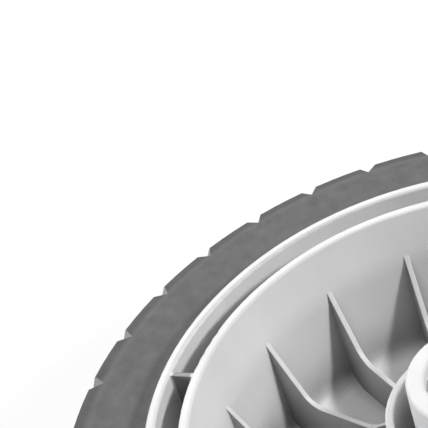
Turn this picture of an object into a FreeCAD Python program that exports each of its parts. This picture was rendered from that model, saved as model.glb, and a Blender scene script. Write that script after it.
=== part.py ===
import FreeCAD, Part
import math
import os
import re
import Sketcher

# Lawn mower wheel lying on its rear side: the axle runs along Z, the front face is up
# and Z = 0 is the plane of the rear lip. One rib lies on +X. Lengths are in millimetres.
SIZES = [
    ("rim_width", 50.0, "rim, from the rear lip to the front lip"),
    ("lip_r", 78.0, "rim barrel, outer radius"),
    ("lip_wall", 2.4, "rim barrel, wall"),
    ("key_rise", 1.6, "ridge that keeps the tyre on the barrel, height"),
    ("key_width", 10.0, "ridge that keeps the tyre on the barrel, width"),
    ("edge_round", 0.8, "rounding of the lips and of the hub's ends"),
    ("channel_floor", 36.0, "floor of the channel behind the front lip"),
    ("channel_wall", 2.6, "thickness of that floor"),
    ("channel_round", 1.2, "rounding at the bottom of the channel"),
    ("inner_lip_r", 69.9, "inner lip, outer radius"),
    ("inner_lip_wall", 2.4, "inner lip, wall"),
    ("inner_lip_top", 50.1, "inner lip, top"),
    ("flare_in", 3.9, "flared mouth of the dish, from the inner lip in to the throat"),
    ("throat_z", 38.5, "throat of the dish, where the flare ends and the ribs leave the wall"),
    ("throat_round", 20.0, "rounding of the throat"),
    ("draft_in", 1.6, "wall of the dish, from the throat in to its foot"),
    ("dish_wall", 2.6, "wall of the dish, measured level"),
    ("floor_z", 9.0, "floor of the dish"),
    ("floor_wall", 2.6, "thickness of that floor"),
    ("foot_round", 6.0, "rounding between the wall of the dish and its floor"),
    ("web_count", 3, "webs across the channel"),
    ("web_wall", 1.3, "web thickness"),
    ("web_drop", 0.5, "web top below the front lip"),
    ("rib_count", 18, "ribs in the dish"),
    ("rib_wall", 1.3, "rib thickness"),
    ("rib_bend_in", 7.6, "bend where the crest turns level, in from the foot of the wall"),
    ("rib_crest_z", 21.2, "level of the crest"),
    ("rib_rise_r", 36.0, "where the crest starts to rise to the collar"),
    ("rib_end_z", 32.0, "top of the rib at the collar"),
    ("rib_round", 6.0, "rounding of the crest's bends"),
    ("collar_r", 22.7, "collar round the hub, outer radius"),
    ("collar_wall", 2.0, "collar wall"),
    ("collar_top", 44.3, "collar top"),
    ("collar_round", 0.5, "rounding of the collar's edges"),
    ("moat_floor", 12.0, "bottom of the space between collar and hub"),
    ("hub_r", 16.3, "hub tube, outer radius"),
    ("hub_stand", 4.3, "hub tube in front of the front lip"),
    ("hub_back", 3.0, "hub tube's rear end in front of the rear lip"),
    ("tyre_height", 22.5, "tyre, from the barrel to the tread"),
    ("tyre_half", 20.8, "half the tyre's width"),
    ("bead_half", 20.2, "half the tyre's width at the rim"),
    ("shoulder_half", 19.3, "half the width at the shoulder's edge"),
    ("shoulder_drop", 1.6, "shoulder's edge below the tread"),
    ("band_drop", 7.0, "where the side wall starts to slope to the shoulder, below the tread"),
    ("tread_half", 14.0, "half the width of the level tread"),
    ("tread_round", 2.0, "rounding of the shoulder"),
    ("notch_count", 36, "notches round each shoulder"),
    ("notch_drop", 6.0, "inner end of a notch on the side wall, below the tread"),
    ("notch_slant", 55.0, "angle in degrees from the wheel's plane down to the notch's bottom"),
    ("notch_mouth", 5.0, "height above the notch's bottom at which its sides are measured"),
    ("notch_steep", 3.1, "notch at that height, steep side"),
    ("notch_slope", 5.5, "notch at that height, sloping side"),
    ("bearing_recess", 3.0, "bearing below the hub's end"),
    ("bearing_r", 12.0, "ball bearing, outer radius"),
    ("bearing_width", 6.0, "ball bearing, width"),
    ("bore_r", 6.0, "ball bearing, bore radius for the axle"),
    ("stop_wall", 1.5, "step in the hub that the bearings stand against"),
    ("pitch_r", 9.0, "radius of the circle of balls"),
    ("ball_count", 10, "balls in a bearing"),
    ("ball_r", 1.75, "ball radius"),
    ("race_play", 0.07, "running clearance between ball and raceway"),
    ("race_depth", 0.62, "depth of a raceway"),
    ("ring_round", 0.4, "rounding of the bearing rings"),
    ("cage_half", 0.55, "half the cage's wall"),
    ("cage_width", 4.2, "cage, along the axle"),
    ("pocket_play", 0.08, "running clearance between ball and cage"),
    ("seal_wall", 0.5, "seal thickness"),
    ("seal_set", 0.2, "seal below the bearing's face"),
    ("seal_grip", 0.4, "depth of the step that holds the seal"),
    ("seal_lip", 0.3, "clearance between seal and inner ring"),
    ("spacer_wall", 2.0, "spacer sleeve, wall"),
]
NAMES = {name for name, _, _ in SIZES}

# Heights and radii that are used more than once, written with the names of the sheet.
MIDDLE = "rim_width / 2"
HUB_FRONT = "rim_width + hub_stand"
FRONT_BEARING = f"{HUB_FRONT} - bearing_recess - bearing_width"
REAR_BEARING = "hub_back + bearing_recess"
DISH_TOP_R = "(inner_lip_r - inner_lip_wall)"
THROAT_R = f"({DISH_TOP_R} - flare_in)"
FOOT_R = f"({THROAT_R} - draft_in)"
TREAD_R = "(lip_r + tyre_height)"

# Axis about which a notch's section leans.
ACROSS = FreeCAD.Vector(0, 1, 0)

doc = FreeCAD.newDocument("mower_wheel")
sheet = doc.addObject("Spreadsheet::Sheet", "Sizes")
nodes = []


def fill_sheet():
    """One row for each driving size: what it is, its value and its alias."""
    for row, (name, value, note) in enumerate(SIZES, start=1):
        sheet.set(f"A{row}", note)
        sheet.set(f"B{row}", str(value))
        sheet.setAlias(f"B{row}", name)
    doc.recompute()


def linked(expression):
    """The same expression with each size read from the sheet."""
    return re.sub(r"[a-z_]+", lambda word: f"Sizes.{word[0]}" if word[0] in NAMES else word[0], expression)


def value_of(expression):
    """Present value of an expression."""
    return float(sheet.evalExpression(linked(expression)))


def bind(thing, prop, expression):
    """Drive one property from the sheet."""
    thing.setExpression(prop, linked(expression))


def new_body(label, height="0"):
    """Empty body for one node, standing at a height on the axle line."""
    body = doc.addObject("PartDesign::Body", label)
    body.Label = label
    bind(body, "Placement.Base.z", height)
    nodes.append(body)
    return body


def origin_of(body, role):
    """Plane or axis of the body's own origin."""
    return next(item for item in body.Origin.OriginFeatures if item.Role == role)


def new_sketch(body, label, plane, height="0"):
    """Empty sketch on an origin plane, raised along the plane's normal."""
    sketch = body.newObject("Sketcher::SketchObject", label)
    sketch.AttachmentSupport = [(origin_of(body, plane), "")]
    sketch.MapMode = "FlatFace"
    bind(sketch, "AttachmentOffset.Base.z", height)
    return sketch


def hold(sketch, geometry, position, corner):
    """Fix one point of a sketch at a pair of expressions."""
    for kind, expression in zip(("DistanceX", "DistanceY"), corner):
        rule = Sketcher.Constraint(kind, -1, 1, geometry, position, value_of(expression))
        bind(sketch, f"Constraints[{sketch.addConstraint(rule)}]", expression)


def corner_arc(before, corner, after, radius):
    """Arc that rounds a corner, its two ends in the order of travel, and which end is which."""
    way_in = (corner - before).normalize()
    way_out = (after - corner).normalize()
    turn = way_in.cross(way_out).z
    side = math.copysign(1, turn)
    reach = radius * math.tan(way_in.getAngle(way_out) / 2)
    first = corner - way_in * reach
    last = corner + way_out * reach
    centre = first + FreeCAD.Vector(-way_in.y, way_in.x, 0) * radius * side
    start, end = (first, last) if side > 0 else (last, first)
    angles = [math.atan2(point.y - centre.y, point.x - centre.x) for point in (start, end)]
    if angles[1] < angles[0]:
        angles[1] += 2 * math.pi
    circle = Part.Circle(centre, FreeCAD.Vector(0, 0, 1), radius)
    places = (1, 2) if side > 0 else (2, 1)
    return Part.ArcOfCircle(circle, *angles), first, last, places


def outline(sketch, corners):
    """Closed outline: a corner is two expressions, and a third one rounds it."""
    count = len(corners)
    points = [FreeCAD.Vector(value_of(corner[0]), value_of(corner[1]), 0) for corner in corners]
    arcs = {}
    starts = list(points)
    ends = list(points)
    for i, corner in enumerate(corners):
        if len(corner) == 3:
            arc = corner_arc(points[i - 1], points[i], points[(i + 1) % count], value_of(corner[2]))
            arcs[i] = arc
            ends[i] = arc[1]
            starts[i] = arc[2]
    for i in range(count):
        sketch.addGeometry(Part.LineSegment(starts[i], ends[(i + 1) % count]), False)
    for i, corner in enumerate(corners):
        before = (i - 1) % count
        if i not in arcs:
            sketch.addConstraint(Sketcher.Constraint("Coincident", before, 2, i, 1))
            hold(sketch, i, 1, corner[:2])
            continue
        arc, _, _, places = arcs[i]
        bow = sketch.addGeometry(arc, False)
        mark = sketch.addGeometry(Part.Point(points[i]), True)
        hold(sketch, mark, 1, corner[:2])
        sketch.addConstraint(Sketcher.Constraint("PointOnObject", mark, 1, before))
        sketch.addConstraint(Sketcher.Constraint("PointOnObject", mark, 1, i))
        sketch.addConstraint(Sketcher.Constraint("Tangent", before, 2, bow, places[0]))
        sketch.addConstraint(Sketcher.Constraint("Tangent", bow, places[1], i, 1))
        rule = Sketcher.Constraint("Radius", bow, value_of(corner[2]))
        bind(sketch, f"Constraints[{sketch.addConstraint(rule)}]", corner[2])
    doc.recompute()
    return sketch


def ring(sketch, centre, radius):
    """Circle held at a pair of expressions."""
    middle = FreeCAD.Vector(value_of(centre[0]), value_of(centre[1]), 0)
    circle = Part.Circle(middle, FreeCAD.Vector(0, 0, 1), value_of(radius))
    index = sketch.addGeometry(circle, False)
    hold(sketch, index, 3, centre)
    rule = Sketcher.Constraint("Radius", index, value_of(radius))
    bind(sketch, f"Constraints[{sketch.addConstraint(rule)}]", radius)
    doc.recompute()


def turned(body, label, sketch, kind="PartDesign::Revolution"):
    """Sketch turned once round the axle line, added or cut away."""
    feature = body.newObject(kind, label)
    feature.Profile = sketch
    feature.ReferenceAxis = (sketch, ["V_Axis"])
    feature.Angle = 360
    doc.recompute()


def plate(body, label, sketch, thickness):
    """Sketch given a thickness, half on each side of its plane."""
    feature = body.newObject("PartDesign::Pad", label)
    feature.Profile = sketch
    feature.SideType = "Symmetric"
    bind(feature, "Length", thickness)
    doc.recompute()
    return feature


def cut(body, label, sketch, depth, forward):
    """Sketch cut away along its plane's normal, or against it."""
    feature = body.newObject("PartDesign::Pocket", label)
    feature.Profile = sketch
    feature.Reversed = forward
    bind(feature, "Length", depth)
    doc.recompute()
    return feature


def around(body, label, features, count):
    """Features repeated evenly round the axle line."""
    pattern = body.newObject("PartDesign::PolarPattern", label)
    pattern.Originals = features
    pattern.Axis = (origin_of(body, "Z_Axis"), [""])
    pattern.Angle = 360
    bind(pattern, "Occurrences", count)
    body.Tip = pattern
    doc.recompute()


def moulding_section():
    """Half section of the plastic moulding, from the hub's front end outwards and back."""
    barrel_in = "lip_r - lip_wall"
    collar_in = "collar_r - collar_wall"
    under_channel = "channel_floor - channel_wall"
    under_floor = "floor_z - floor_wall"
    key_r = "lip_r + key_rise"
    key_top = f"{MIDDLE} + key_width / 2"
    key_low = f"{MIDDLE} - key_width / 2"
    stop_r = "bearing_r - stop_wall"
    rear_top = f"{REAR_BEARING} + bearing_width"
    return [
        ("bearing_r", HUB_FRONT, "edge_round"),
        ("hub_r", HUB_FRONT, "edge_round"),
        ("hub_r", "moat_floor", "collar_round"),
        (collar_in, "moat_floor", "collar_round"),
        (collar_in, "collar_top", "collar_round"),
        ("collar_r", "collar_top", "collar_round"),
        ("collar_r", "floor_z", "channel_round"),
        (FOOT_R, "floor_z", "foot_round"),
        (THROAT_R, "throat_z", "throat_round"),
        (DISH_TOP_R, "inner_lip_top", "edge_round"),
        ("inner_lip_r", "inner_lip_top", "edge_round"),
        ("inner_lip_r", "channel_floor", "channel_round"),
        (barrel_in, "channel_floor", "channel_round"),
        (barrel_in, "rim_width", "edge_round"),
        ("lip_r", "rim_width", "edge_round"),
        ("lip_r", key_top),
        (key_r, key_top),
        (key_r, key_low),
        ("lip_r", key_low),
        ("lip_r", "0", "edge_round"),
        (barrel_in, "0", "edge_round"),
        (barrel_in, under_channel),
        (f"{THROAT_R} + dish_wall", under_channel),
        (f"{FOOT_R} + dish_wall", under_floor, "foot_round + dish_wall"),
        ("hub_r", under_floor, "channel_round"),
        ("hub_r", "hub_back", "edge_round"),
        ("bearing_r", "hub_back", "edge_round"),
        ("bearing_r", rear_top),
        (stop_r, rear_top),
        (stop_r, FRONT_BEARING),
        ("bearing_r", FRONT_BEARING),
    ]


def build_moulding():
    """Rim, dish, ribs, collar and hub: one moulding."""
    body = new_body("wheel_moulding")
    half = outline(new_sketch(body, "moulding_half", "XZ_Plane"), moulding_section())
    turned(body, "moulding_turn", half)

    inside_floor = "floor_z - floor_wall / 2"
    inside_collar = "collar_r - collar_wall / 2"
    rib_side = outline(new_sketch(body, "rib_side", "XZ_Plane"), [
        (inside_collar, inside_floor),
        (f"{FOOT_R} + dish_wall / 2", inside_floor, "foot_round + dish_wall / 2"),
        (f"{THROAT_R} + dish_wall / 2", "throat_z + dish_wall"),
        (f"{FOOT_R} - rib_bend_in", "rib_crest_z", "rib_round"),
        ("rib_rise_r", "rib_crest_z", "rib_round"),
        (inside_collar, "rib_end_z"),
    ])
    around(body, "ribs", [plate(body, "rib", rib_side, "rib_wall")], "rib_count")

    web_in = "inner_lip_r - inner_lip_wall / 2"
    web_out = "lip_r - lip_wall / 2"
    web_low = "channel_floor - channel_wall / 2"
    web_top = "rim_width - web_drop"
    web_side = outline(new_sketch(body, "web_side", "XZ_Plane"), [
        (web_in, web_low),
        (web_out, web_low),
        (web_out, web_top),
        (web_in, web_top),
    ])
    around(body, "webs", [plate(body, "web", web_side, "web_wall")], "web_count")


def build_tyre():
    """Rubber tyre with a groove for the rim's ridge and a notched shoulder on each side."""
    body = new_body("tyre")
    key_r = "lip_r + key_rise"
    front = [
        ("lip_r", "bead_half"),
        (f"{TREAD_R} - band_drop", "tyre_half", "tread_round"),
        (f"{TREAD_R} - shoulder_drop", "shoulder_half", "tread_round / 2"),
        (TREAD_R, "tread_half", "tread_round"),
    ]
    upper = [(corner[0], f"{MIDDLE} + {corner[1]}", *corner[2:]) for corner in front]
    lower = [(corner[0], f"{MIDDLE} - {corner[1]}", *corner[2:]) for corner in reversed(front)]
    groove = [
        ("lip_r", f"{MIDDLE} - key_width / 2"),
        (key_r, f"{MIDDLE} - key_width / 2"),
        (key_r, f"{MIDDLE} + key_width / 2"),
        ("lip_r", f"{MIDDLE} + key_width / 2"),
    ]
    half = outline(new_sketch(body, "tyre_half_section", "XZ_Plane"), upper + lower + groove)
    turned(body, "tyre_turn", half)

    notches = []
    corners = [("0", "0"), ("notch_mouth", "-notch_slope"), ("notch_mouth", "notch_steep")]
    for side, sign, lean in (("front", "+", "notch_slant - 90"), ("rear", "-", "90 - notch_slant")):
        sketch = new_sketch(body, f"{side}_notch_section", "XY_Plane", f"{MIDDLE} {sign} tyre_half")
        sketch.AttachmentOffset = FreeCAD.Placement(FreeCAD.Vector(), FreeCAD.Rotation(ACROSS, 1))
        bind(sketch, "AttachmentOffset.Rotation.Angle", lean)
        bind(sketch, "AttachmentOffset.Base.x", f"{TREAD_R} - notch_drop")
        notch = cut(body, f"{side}_notch", outline(sketch, corners), "5 * notch_drop", False)
        notch.SideType = "Symmetric"
        notches.append(notch)
    around(body, "notches", notches, "notch_count")


def build_ring(label, height, bore, outside, seal_step):
    """One bearing ring with its raceway; the outer ring has a step for each seal."""
    body = new_body(label, height)
    top = "bearing_width"
    if seal_step:
        step_r = f"{bore} + seal_grip"
        step = "(seal_set + seal_wall)"
        section = [
            (bore, step),
            (step_r, step),
            (step_r, "0"),
            (outside, "0", "ring_round"),
            (outside, top, "ring_round"),
            (step_r, top),
            (step_r, f"{top} - {step}"),
            (bore, f"{top} - {step}"),
        ]
    else:
        section = [
            (bore, "0", "ring_round"),
            (outside, "0"),
            (outside, top),
            (bore, top, "ring_round"),
        ]
    sketch = outline(new_sketch(body, f"{label}_section", "XZ_Plane"), section)
    turned(body, f"{label}_turn", sketch)
    race = new_sketch(body, f"{label}_race", "XZ_Plane")
    ring(race, ("pitch_r", "bearing_width / 2"), "ball_r + race_play")
    turned(body, f"{label}_raceway", race, "PartDesign::Groove")


def build_cage(label, height):
    """Cage ring with a round pocket for each ball."""
    body = new_body(label, height)
    inside = "pitch_r - cage_half"
    outside = "pitch_r + cage_half"
    low = "(bearing_width - cage_width) / 2"
    high = "(bearing_width + cage_width) / 2"
    corners = [(inside, low), (outside, low), (outside, high), (inside, high)]
    turned(body, f"{label}_turn", outline(new_sketch(body, f"{label}_section", "XZ_Plane"), corners))
    hole = new_sketch(body, f"{label}_hole", "YZ_Plane")
    ring(hole, ("0", "bearing_width / 2"), "ball_r + pocket_play")
    pocket = cut(body, f"{label}_pocket", hole, "pitch_r + ball_r", True)
    around(body, f"{label}_pockets", [pocket], "ball_count")


def build_seal(label, height, low):
    """Flat seal held in the outer ring, clear of the inner ring."""
    body = new_body(label, height)
    inside = "pitch_r - ball_r - race_play + race_depth + seal_lip"
    outside = "pitch_r + ball_r + race_play - race_depth + seal_grip"
    high = f"{low} + seal_wall"
    corners = [(inside, low), (outside, low), (outside, high), (inside, high)]
    turned(body, f"{label}_turn", outline(new_sketch(body, f"{label}_section", "XZ_Plane"), corners))


def build_balls(prefix, height):
    """Balls evenly spaced on the pitch circle."""
    for number in range(int(value_of("ball_count"))):
        label = f"{prefix}_ball_{number + 1:02d}"
        ball = doc.addObject("Part::Sphere", label)
        ball.Label = label
        bind(ball, "Radius", "ball_r")
        bind(ball, "Placement.Base.x", f"pitch_r * cos({number} * 360 deg / ball_count)")
        bind(ball, "Placement.Base.y", f"pitch_r * sin({number} * 360 deg / ball_count)")
        bind(ball, "Placement.Base.z", f"{height} + bearing_width / 2")
        nodes.append(ball)


def build_bearing(prefix, height):
    """One deep-groove ball bearing, 12 x 24 x 6, with a seal on each side."""
    land_in = "pitch_r - ball_r - race_play + race_depth"
    land_out = "pitch_r + ball_r + race_play - race_depth"
    build_ring(f"{prefix}_outer_ring", height, land_out, "bearing_r", True)
    build_ring(f"{prefix}_inner_ring", height, "bore_r", land_in, False)
    build_cage(f"{prefix}_cage", height)
    build_seal(f"{prefix}_seal_low", height, "seal_set")
    build_seal(f"{prefix}_seal_high", height, "bearing_width - seal_set - seal_wall")
    build_balls(prefix, height)


def build_spacer():
    """Sleeve that keeps the two inner rings apart on the axle."""
    low = f"{REAR_BEARING} + bearing_width"
    body = new_body("spacer_sleeve")
    outside = "bore_r + spacer_wall"
    corners = [("bore_r", low), (outside, low), (outside, FRONT_BEARING), ("bore_r", FRONT_BEARING)]
    turned(body, "spacer_turn", outline(new_sketch(body, "spacer_section", "XZ_Plane"), corners))


def check():
    """Stop if any object is broken."""
    doc.recompute()
    for thing in doc.Objects:
        if "Invalid" in thing.State or "Error" in thing.State:
            raise RuntimeError(f"{thing.Label} is {thing.State}")
    for node in nodes:
        if node.Shape.isNull() or not node.Shape.isValid() or len(node.Shape.Solids) != 1:
            raise RuntimeError(f"{node.Label} is not one valid solid")


def write_parts():
    """One STEP file for each node."""
    os.makedirs("parts", exist_ok=True)
    for node in nodes:
        node.Shape.exportStep(f"parts/{node.Label}.step")


fill_sheet()
build_moulding()
build_tyre()
build_bearing("front", FRONT_BEARING)
build_bearing("rear", REAR_BEARING)
build_spacer()
check()
write_parts()
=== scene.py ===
import math

import bpy
from mathutils import Matrix, Vector

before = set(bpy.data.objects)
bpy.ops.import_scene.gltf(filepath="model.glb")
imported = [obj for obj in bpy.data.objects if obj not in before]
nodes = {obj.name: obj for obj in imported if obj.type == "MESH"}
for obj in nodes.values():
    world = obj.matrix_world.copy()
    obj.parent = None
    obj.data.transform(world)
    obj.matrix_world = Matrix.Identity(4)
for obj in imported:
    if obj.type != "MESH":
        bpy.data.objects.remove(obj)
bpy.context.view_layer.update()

# Wheel moulding: lips, dish, ribs, collar and hub in one injection moulding of light grey
# polypropylene, satin from the tool, with pale edges and the tool's turning rings on the floor
# of the dish. The steep faces in the dish's corners and the channel between the lips carry
# painted shade.
plastic_grey = (0.63, 0.63, 0.63, 1)
plastic_pale = (0.69, 0.69, 0.69, 1)
plastic_worn = (0.8, 0.8, 0.8, 1)
painted_corner_shade = (0.14, 0.142, 0.145, 1)
painted_channel_shade = (0.21, 0.212, 0.215, 1)
plastic_roughness = (0.36, 0.54)
plastic_edge = 0.0004
flow_depth = 0.0002
grain_depth = 0.00003
corner_reach = 0.016
corner_openness = (0.2, 0.78)
steep_to_level = (0.4, 0.9)
dish_start = 0.0227
dish_end = 0.069
dish_fade = 0.003
channel_middle = 0.07275
channel_half = 0.0026
channel_fade = 0.0005
ring_pitch = 0.0009
ring_depth = 0.00004
ring_level = 0.0095
ring_fade = 0.0035


def new_finish(name, specular, metallic=0):
    """New material and its shader."""
    finish = bpy.data.materials.new(name)
    finish.use_nodes = True
    shader = finish.node_tree.nodes["Principled BSDF"]
    shader.inputs["Specular IOR Level"].default_value = specular
    shader.inputs["Metallic"].default_value = metallic
    return finish, shader


def noise(finish, scale, detail):
    """Noise on the piece's own coordinates; scale is in marks to the metre."""
    tree = finish.node_tree
    place = tree.nodes.new("ShaderNodeTexCoord")
    marks = tree.nodes.new("ShaderNodeTexNoise")
    marks.inputs["Scale"].default_value = scale
    marks.inputs["Detail"].default_value = detail
    tree.links.new(place.outputs["Object"], marks.inputs["Vector"])
    return marks.outputs["Fac"]


def axle_distance(finish):
    """Distance from the axle line, in metres."""
    tree = finish.node_tree
    place = tree.nodes.new("ShaderNodeTexCoord")
    flat = tree.nodes.new("ShaderNodeVectorMath")
    flat.operation = "MULTIPLY"
    flat.inputs[1].default_value = (1, 1, 0)
    length = tree.nodes.new("ShaderNodeVectorMath")
    length.operation = "LENGTH"
    tree.links.new(place.outputs["Object"], flat.inputs[0])
    tree.links.new(flat.outputs["Vector"], length.inputs[0])
    return length.outputs["Value"]


def level(finish):
    """Height above the rear lip, in metres."""
    tree = finish.node_tree
    place = tree.nodes.new("ShaderNodeTexCoord")
    split = tree.nodes.new("ShaderNodeSeparateXYZ")
    tree.links.new(place.outputs["Object"], split.inputs["Vector"])
    return split.outputs["Z"]


def spread(finish, mask, low, high, start=0, end=1):
    """Number that goes from low to high as the mask does from start to end."""
    tree = finish.node_tree
    scale = tree.nodes.new("ShaderNodeMapRange")
    scale.inputs["From Min"].default_value = start
    scale.inputs["From Max"].default_value = end
    scale.inputs["To Min"].default_value = low
    scale.inputs["To Max"].default_value = high
    tree.links.new(mask, scale.inputs["Value"])
    return scale.outputs["Result"]


def product(finish, one, other):
    """Product of two masks."""
    tree = finish.node_tree
    both = tree.nodes.new("ShaderNodeMath")
    both.operation = "MULTIPLY"
    tree.links.new(one, both.inputs[0])
    tree.links.new(other, both.inputs[1])
    return both.outputs["Value"]


def shade(finish, mask, low, high, start=0.3, end=0.7):
    """Colour that goes from low to high as the mask does from start to end."""
    tree = finish.node_tree
    blend = tree.nodes.new("ShaderNodeMix")
    blend.data_type = "RGBA"
    sockets = {socket.identifier: socket for socket in (*blend.inputs, *blend.outputs)}
    for name, colour in (("A_Color", low), ("B_Color", high)):
        if isinstance(colour, tuple):
            sockets[name].default_value = colour
        else:
            tree.links.new(colour, sockets[name])
    tree.links.new(spread(finish, mask, 0, 1, start, end), sockets["Factor_Float"])
    return sockets["Result_Color"]


def soft_edges(finish, radius):
    """Normals that round every edge, and a mask that is 1 along the edges."""
    tree = finish.node_tree
    bevel = tree.nodes.new("ShaderNodeBevel")
    bevel.samples = 6
    bevel.inputs["Radius"].default_value = radius
    face = tree.nodes.new("ShaderNodeNewGeometry")
    turn = tree.nodes.new("ShaderNodeVectorMath")
    turn.operation = "DOT_PRODUCT"
    tree.links.new(bevel.outputs["Normal"], turn.inputs[0])
    tree.links.new(face.outputs["Normal"], turn.inputs[1])
    return bevel.outputs["Normal"], spread(finish, turn.outputs["Value"], 1, 0, 0.8, 1)


def corners(finish, reach):
    """Openness of the place: 0 deep in a corner, 1 where nothing is near."""
    shelter = finish.node_tree.nodes.new("ShaderNodeAmbientOcclusion")
    shelter.samples = 6
    shelter.inputs["Distance"].default_value = reach
    return shelter.outputs["AO"]


def apart(finish, value, middle):
    """How far a value is from its middle."""
    tree = finish.node_tree
    gap = tree.nodes.new("ShaderNodeMath")
    gap.operation = "SUBTRACT"
    gap.inputs[1].default_value = middle
    size = tree.nodes.new("ShaderNodeMath")
    size.operation = "ABSOLUTE"
    tree.links.new(value, gap.inputs[0])
    tree.links.new(gap.outputs["Value"], size.inputs[0])
    return size.outputs["Value"]


def levelness(finish):
    """0 on a face that stands upright, 1 on a level one."""
    tree = finish.node_tree
    place = tree.nodes.new("ShaderNodeTexCoord")
    split = tree.nodes.new("ShaderNodeSeparateXYZ")
    tree.links.new(place.outputs["Normal"], split.inputs["Vector"])
    return apart(finish, split.outputs["Z"], 0)


def turned_rings(finish, pitch, top, fade):
    """Ridges round the axle, from 0 to 1, that fade out above the level top."""
    tree = finish.node_tree
    rings = tree.nodes.new("ShaderNodeMath")
    rings.operation = "PINGPONG"
    rings.inputs[1].default_value = pitch / 2
    tree.links.new(axle_distance(finish), rings.inputs[0])
    ridges = spread(finish, rings.outputs["Value"], 0, 1, 0, pitch / 2)
    low_down = spread(finish, level(finish), 1, 0, top, top + fade)
    return product(finish, ridges, low_down)


def relief(finish, height, depth, below):
    """Bump of a real depth in metres, laid over other normals."""
    tree = finish.node_tree
    bump = tree.nodes.new("ShaderNodeBump")
    bump.inputs["Distance"].default_value = depth
    tree.links.new(height, bump.inputs["Height"])
    tree.links.new(below, bump.inputs["Normal"])
    return bump.outputs["Normal"]


def dress(piece, finish):
    """Give a piece one finish."""
    piece.data.materials.clear()
    piece.data.materials.append(finish)


rim_plastic, shader = new_finish("rim_plastic", specular=0.35)
links = rim_plastic.node_tree.links
flow = noise(rim_plastic, scale=45, detail=3)
grain = noise(rim_plastic, scale=2600, detail=2)
rounded, worn = soft_edges(rim_plastic, plastic_edge)
skin = shade(rim_plastic, flow, plastic_grey, plastic_pale)
skin = shade(rim_plastic, worn, skin, plastic_worn, 0, 1)
# Painted shade: steep faces in the dish's corners, between collar and lips, are darkened where
# little is open around them, standing in for the ribs' shadows.
openness = corners(rim_plastic, corner_reach)
painted_corner_skin = shade(rim_plastic, openness, painted_corner_shade, skin, *corner_openness)
painted_corner_skin = shade(rim_plastic, levelness(rim_plastic), painted_corner_skin, skin, *steep_to_level)
from_axle = axle_distance(rim_plastic)
painted_corner_skin = shade(rim_plastic, from_axle, skin, painted_corner_skin, dish_start, dish_start + dish_fade)
skin = shade(rim_plastic, from_axle, painted_corner_skin, skin, dish_end - dish_fade, dish_end)
# Painted shade: the channel's floor and the webs across it are darker, as if in the inner lip's
# shadow.
from_channel = apart(rim_plastic, from_axle, channel_middle)
skin = shade(
    rim_plastic, from_channel, painted_channel_shade, skin, channel_half - channel_fade, channel_half
)
links.new(skin, shader.inputs["Base Color"])
links.new(spread(rim_plastic, grain, *plastic_roughness), shader.inputs["Roughness"])
rings = turned_rings(rim_plastic, ring_pitch, ring_level, ring_fade)
turned = relief(rim_plastic, rings, ring_depth, rounded)
waves = relief(rim_plastic, flow, flow_depth, turned)
links.new(relief(rim_plastic, grain, grain_depth, waves), shader.inputs["Normal"])
dress(nodes["wheel_moulding"], rim_plastic)

# Tyre: grey rubber ring pressed over the barrel and held by the ridge in its middle. Its wall
# is matt and blotchy, the shoulder is darker, its edges are rubbed paler and the sides of its
# notches carry a painted highlight.
rubber_dark = (0.08, 0.08, 0.0805, 1)
rubber_pale = (0.125, 0.125, 0.124, 1)
shoulder_dark = (0.05, 0.05, 0.051, 1)
shoulder_pale = (0.078, 0.078, 0.078, 1)
rubber_wear_and_painted_highlight = (0.22, 0.22, 0.218, 1)
rubber_roughness = (0.62, 0.88)
rubber_edge = 0.0006
pore_depth = 0.00006
shoulder_start = 0.0945
shoulder_full = 0.0965
worn_edge_range = (0.4, 1)
painted_highlight_slant = (0.3, 0.6)


def slant(finish):
    """How far a face is turned round the axle, from 0 to 1, as the sides of the notches are."""
    tree = finish.node_tree
    place = tree.nodes.new("ShaderNodeTexCoord")
    around = tree.nodes.new("ShaderNodeVectorMath")
    around.operation = "CROSS_PRODUCT"
    around.inputs[1].default_value = (0, 0, 1)
    unit = tree.nodes.new("ShaderNodeVectorMath")
    unit.operation = "NORMALIZE"
    turn = tree.nodes.new("ShaderNodeVectorMath")
    turn.operation = "DOT_PRODUCT"
    size = tree.nodes.new("ShaderNodeMath")
    size.operation = "ABSOLUTE"
    tree.links.new(place.outputs["Object"], around.inputs[0])
    tree.links.new(around.outputs["Vector"], unit.inputs[0])
    tree.links.new(unit.outputs["Vector"], turn.inputs[0])
    tree.links.new(place.outputs["Normal"], turn.inputs[1])
    tree.links.new(turn.outputs["Value"], size.inputs[0])
    return size.outputs["Value"]


tyre_rubber, shader = new_finish("tyre_rubber", specular=0.3)
links = tyre_rubber.node_tree.links
blotches = noise(tyre_rubber, scale=220, detail=7)
pores = noise(tyre_rubber, scale=3200, detail=3)
rounded, worn = soft_edges(tyre_rubber, rubber_edge)
wall = shade(tyre_rubber, blotches, rubber_dark, rubber_pale)
shoulder = shade(tyre_rubber, blotches, shoulder_dark, shoulder_pale)
from_axle = axle_distance(tyre_rubber)
skin = shade(tyre_rubber, from_axle, wall, shoulder, shoulder_start, shoulder_full)
skin = shade(tyre_rubber, worn, skin, rubber_wear_and_painted_highlight, *worn_edge_range)
# Painted highlight: the sides of the notches are lighter, as if lit.
skin = shade(tyre_rubber, slant(tyre_rubber), skin, rubber_wear_and_painted_highlight, *painted_highlight_slant)
links.new(skin, shader.inputs["Base Color"])
links.new(spread(tyre_rubber, blotches, *rubber_roughness), shader.inputs["Roughness"])
links.new(relief(tyre_rubber, pores, pore_depth, rounded), shader.inputs["Normal"])
dress(nodes["tyre"], tyre_rubber)

# Ball bearings: ground steel rings and balls, a nylon cage and two rubber seals in each end of
# the hub, pressed in up to the step. Their edges are rubbed bright.


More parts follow.
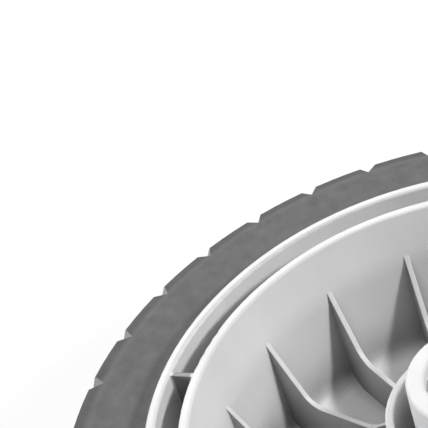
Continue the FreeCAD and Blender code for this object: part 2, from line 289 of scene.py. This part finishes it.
def rubbed_finish(name, specular, metallic, tones, mottle, grain, roughness, edge, depth):
    """Finish mottled between two tones, with the third along its edges, and a fine grain."""
    finish, shader = new_finish(name, specular, metallic)
    links = finish.node_tree.links
    low, high, rubbed = tones
    clouds = noise(finish, *mottle)
    rounded, worn = soft_edges(finish, edge)
    skin = shade(finish, clouds, low, high)
    skin = shade(finish, worn, skin, rubbed, 0, 1)
    links.new(skin, shader.inputs["Base Color"])
    links.new(spread(finish, clouds, *roughness), shader.inputs["Roughness"])
    links.new(relief(finish, noise(finish, *grain), depth, rounded), shader.inputs["Normal"])
    return finish


bearing_steel = rubbed_finish(
    "bearing_steel",
    specular=0.5,
    metallic=1,
    tones=[(0.5, 0.5, 0.5, 1), (0.62, 0.62, 0.63, 1), (0.72, 0.72, 0.72, 1)],
    mottle=(300, 4),
    grain=(5000, 2),
    roughness=(0.18, 0.4),
    edge=0.0002,
    depth=0.000004,
)
cage_nylon = rubbed_finish(
    "cage_nylon",
    specular=0.5,
    metallic=0,
    tones=[(0.7, 0.64, 0.5, 1), (0.8, 0.75, 0.62, 1), (0.85, 0.81, 0.7, 1)],
    mottle=(500, 3),
    grain=(6000, 2),
    roughness=(0.38, 0.55),
    edge=0.0001,
    depth=0.00001,
)
seal_rubber = rubbed_finish(
    "seal_rubber",
    specular=0.4,
    metallic=0,
    tones=[(0.02, 0.02, 0.02, 1), (0.045, 0.045, 0.045, 1), (0.09, 0.09, 0.09, 1)],
    mottle=(900, 4),
    grain=(5000, 3),
    roughness=(0.5, 0.75),
    edge=0.0001,
    depth=0.00001,
)
for name, node in nodes.items():
    if name.startswith(("front_", "rear_")):
        if "seal" in name:
            dress(node, seal_rubber)
        elif "cage" in name:
            dress(node, cage_nylon)
        else:
            dress(node, bearing_steel)

# Spacer sleeve: zinc-plated steel tube between the two inner rings. It takes the axle bolt's
# pull, so that the bearings aren't squeezed.
spacer_steel = rubbed_finish(
    "spacer_steel",
    specular=0.5,
    metallic=1,
    tones=[(0.46, 0.48, 0.5, 1), (0.6, 0.6, 0.58, 1), (0.68, 0.68, 0.67, 1)],
    mottle=(420, 5),
    grain=(420, 5),
    roughness=(0.26, 0.5),
    edge=0.0002,
    depth=0.00001,
)
dress(nodes["spacer_sleeve"], spacer_steel)

# Studio: white floor that keeps a faint shadow, a small lamp on the right that throws the ribs'
# shadows, soft lamps from the left, from behind and from above, and the camera where the photo
# was taken.
floor_size = 6
floor_colour = (0.9, 0.9, 0.9, 1)
floor_roughness = 0.9
floor_glow = 0.84
shadow_reach = 0.3
white_from = 0.9
backdrop_light = 0.02
lamp_distance = 1
lamp_target = Vector((0, 0, 0.03))
camera_place = Vector((0.27034, -0.04924, 0.31715))
camera_aim = Vector((-0.09282, -0.0429, 0.05))
camera_roll = math.radians(-17.957)
camera_lens = 143


def seen_directly(tree):
    """1 for rays from the camera, from a reflection or through glass, and 0 for light."""
    rays = tree.nodes.new("ShaderNodeLightPath")
    seen = rays.outputs["Is Camera Ray"]
    for other in ("Is Glossy Ray", "Is Transmission Ray"):
        either = tree.nodes.new("ShaderNodeMath")
        either.operation = "MAXIMUM"
        tree.links.new(seen, either.inputs[0])
        tree.links.new(rays.outputs[other], either.inputs[1])
        seen = either.outputs["Value"]
    return seen


def add_lamp(name, bearing, height, width, power):
    """Square soft lamp turned to the wheel; the two angles are in degrees."""
    lamp = bpy.data.lights.new(name, "AREA")
    lamp.size = width
    lamp.energy = power
    stand = bpy.data.objects.new(name, lamp)
    bpy.context.collection.objects.link(stand)
    way = Vector((0, math.cos(math.radians(height)), math.sin(math.radians(height))))
    way.rotate(Matrix.Rotation(math.radians(bearing - 90), 3, "Z"))
    stand.location = lamp_target + way * lamp_distance
    stand.rotation_euler = way.to_track_quat("Z", "Y").to_euler()


bpy.ops.object.select_all(action="DESELECT")
bpy.ops.mesh.primitive_plane_add(size=floor_size)
floor = bpy.context.object
floor.name = "floor"
floor_white, shader = new_finish("floor_white", specular=0)
shader.inputs["Base Color"].default_value = floor_colour
shader.inputs["Roughness"].default_value = floor_roughness
tree = floor_white.node_tree
glow = tree.nodes.new("ShaderNodeEmission")
blend = tree.nodes.new("ShaderNodeMixShader")
from_wheel = axle_distance(floor_white)
whiteness = spread(floor_white, from_wheel, floor_glow, 1, shadow_reach, white_from)
tree.links.new(product(floor_white, seen_directly(tree), whiteness), blend.inputs["Fac"])
tree.links.new(shader.outputs["BSDF"], blend.inputs[1])
tree.links.new(glow.outputs["Emission"], blend.inputs[2])
tree.links.new(blend.outputs["Shader"], tree.nodes["Material Output"].inputs["Surface"])
dress(floor, floor_white)

world = bpy.data.worlds.new("studio")
bpy.context.scene.world = world
world.use_nodes = True
backdrop = world.node_tree.nodes["Background"]
backdrop.inputs["Color"].default_value = (1, 1, 1, 1)
world_light = spread(world, seen_directly(world.node_tree), backdrop_light, 1)
world.node_tree.links.new(world_light, backdrop.inputs["Strength"])

add_lamp("key_lamp", bearing=62, height=38, width=0.15, power=8.2)
add_lamp("left_lamp", bearing=-100, height=14, width=0.4, power=7.5)
add_lamp("back_lamp", bearing=185, height=38, width=0.5, power=5.5)
add_lamp("top_lamp", bearing=120, height=88, width=0.4, power=3)

camera = bpy.data.cameras.new("camera")
camera.lens = camera_lens
camera_object = bpy.data.objects.new("camera", camera)
bpy.context.collection.objects.link(camera_object)
turn = (camera_aim - camera_place).to_track_quat("-Z", "Y").to_matrix()
turn = turn @ Matrix.Rotation(camera_roll, 3, "Z")
camera_object.matrix_world = Matrix.Translation(camera_place) @ turn.to_4x4()
bpy.context.scene.camera = camera_object
bpy.context.scene.view_settings.view_transform = "Standard"
